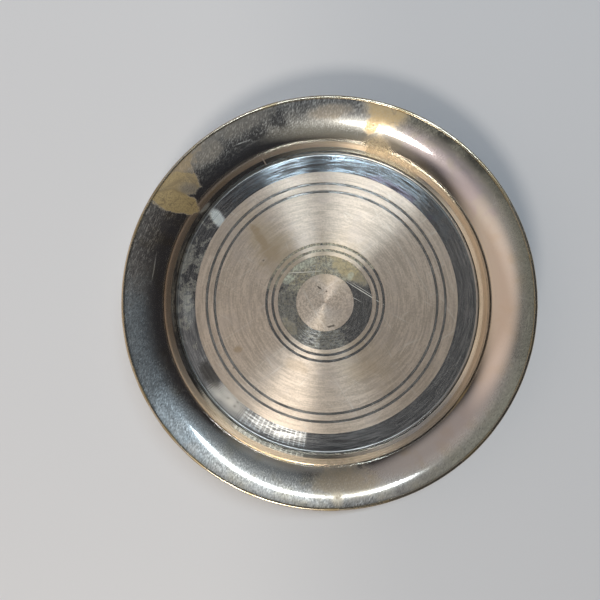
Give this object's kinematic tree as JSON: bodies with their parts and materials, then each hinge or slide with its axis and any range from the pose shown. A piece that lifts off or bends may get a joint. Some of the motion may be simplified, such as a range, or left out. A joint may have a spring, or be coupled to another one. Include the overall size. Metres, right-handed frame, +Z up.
{
  "type": "round silver-plated dish",
  "caption": "Shallow round silver-plated dish with a flat turned floor, bright-cut rings, a polished flared rim and a wired edge, for standing a bottle, glass or small food on.",
  "frame": {"origin": "on the dish's axis, at the level of the surface that it stands on", "axes": "+Z up along the dish's axis, out of the well; the dish is round, so X and Y are equal"},
  "size_m": [0.14, 0.14, 0.0154],
  "materials": {
    "polished_silver": "polished silver plate on brass, with hairline scratches and patches of golden tarnish",
    "turned_silver": "silver plate turned to a circular satin, with mirror-bright cut rings and faint brown stains",
    "worn_silver_wire": "polished silver plate, worn and yellowed along the edge"
  },
  "bodies": {
    "root": {"flared_rim": "polished_silver", "turned_floor": "turned_silver", "edge_wire": "worn_silver_wire"}
  },
  "joints": []
}
